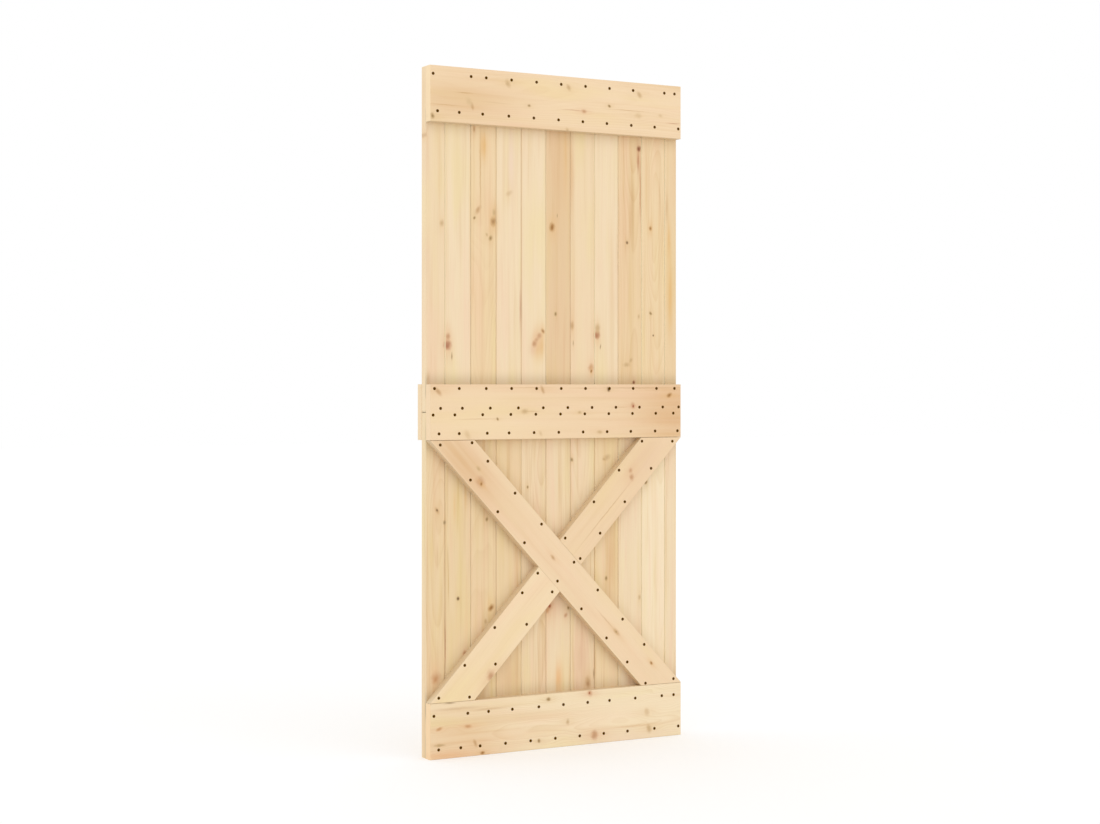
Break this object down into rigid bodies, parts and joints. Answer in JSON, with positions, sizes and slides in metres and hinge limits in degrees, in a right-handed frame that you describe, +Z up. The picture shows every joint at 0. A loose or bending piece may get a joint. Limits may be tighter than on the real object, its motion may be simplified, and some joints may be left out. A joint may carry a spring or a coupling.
{
  "type": "sliding door leaf",
  "caption": "Barn-type sliding door leaf of bare knotty pine: upper and lower tongue-and-groove boards nailed to rails, with a cross brace below the middle rail.",
  "frame": {"origin": "the middle of the top rail's front face, where hanger straps are bolted on", "axes": "+X to the right as seen from the front, +Y from front to back, +Z up"},
  "size_m": [0.9, 0.088, 2.1],
  "materials": {
    "pine_boards": "planed bare pine",
    "pine_rails": "planed bare pine",
    "pine_braces": "planed bare pine",
    "nails": "dark oxidised steel"
  },
  "bodies": {
    "root": {"upper_board_01": "pine_boards", "upper_board_02": "pine_boards", "upper_board_03": "pine_boards", "upper_board_04": "pine_boards", "upper_board_05": "pine_boards", "upper_board_06": "pine_boards", "upper_board_07": "pine_boards", "upper_board_08": "pine_boards", "upper_board_09": "pine_boards", "upper_board_10": "pine_boards", "upper_board_11": "pine_boards", "lower_board_01": "pine_boards", "lower_board_02": "pine_boards", "lower_board_03": "pine_boards", "lower_board_04": "pine_boards", "lower_board_05": "pine_boards", "lower_board_06": "pine_boards", "lower_board_07": "pine_boards", "lower_board_08": "pine_boards", "lower_board_09": "pine_boards", "lower_board_10": "pine_boards", "lower_board_11": "pine_boards", "top_rail": "pine_rails", "middle_rail": "pine_rails", "bottom_rail": "pine_rails", "back_rail": "pine_rails", "long_brace": "pine_braces", "short_brace_upper": "pine_braces", "short_brace_lower": "pine_braces"}
  },
  "joints": []
}
